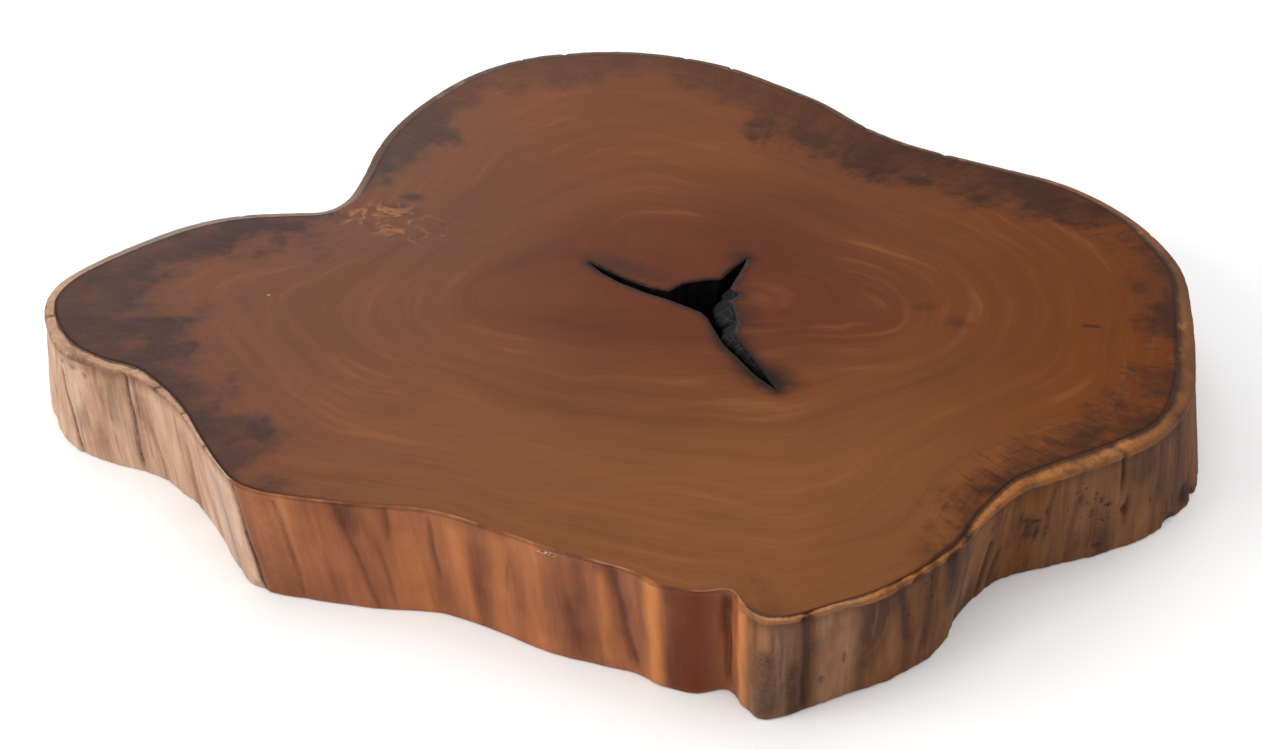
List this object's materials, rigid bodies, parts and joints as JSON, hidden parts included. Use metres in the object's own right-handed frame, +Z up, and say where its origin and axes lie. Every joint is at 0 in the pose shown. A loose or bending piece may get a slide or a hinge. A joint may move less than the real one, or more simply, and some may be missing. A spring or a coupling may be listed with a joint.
{
  "type": "wood slice",
  "caption": "Thick live-edge cross-cut slice of a lobed trunk with a polished top, a bark-side rim and an open heart check, for use as a low table top, plinth or tray.",
  "frame": {"origin": "middle of the slab's bounding box, on the flat plane that the underside rests on", "axes": "+Z up out of the polished top, +X along the slab's longest extent with the narrow lobe towards -X, -Y towards the sawn-off front"},
  "size_m": [0.7914, 0.7004, 0.08],
  "materials": {
    "wood": "satin"
  },
  "bodies": {
    "root": {"wood_slice": "wood"}
  },
  "joints": []
}
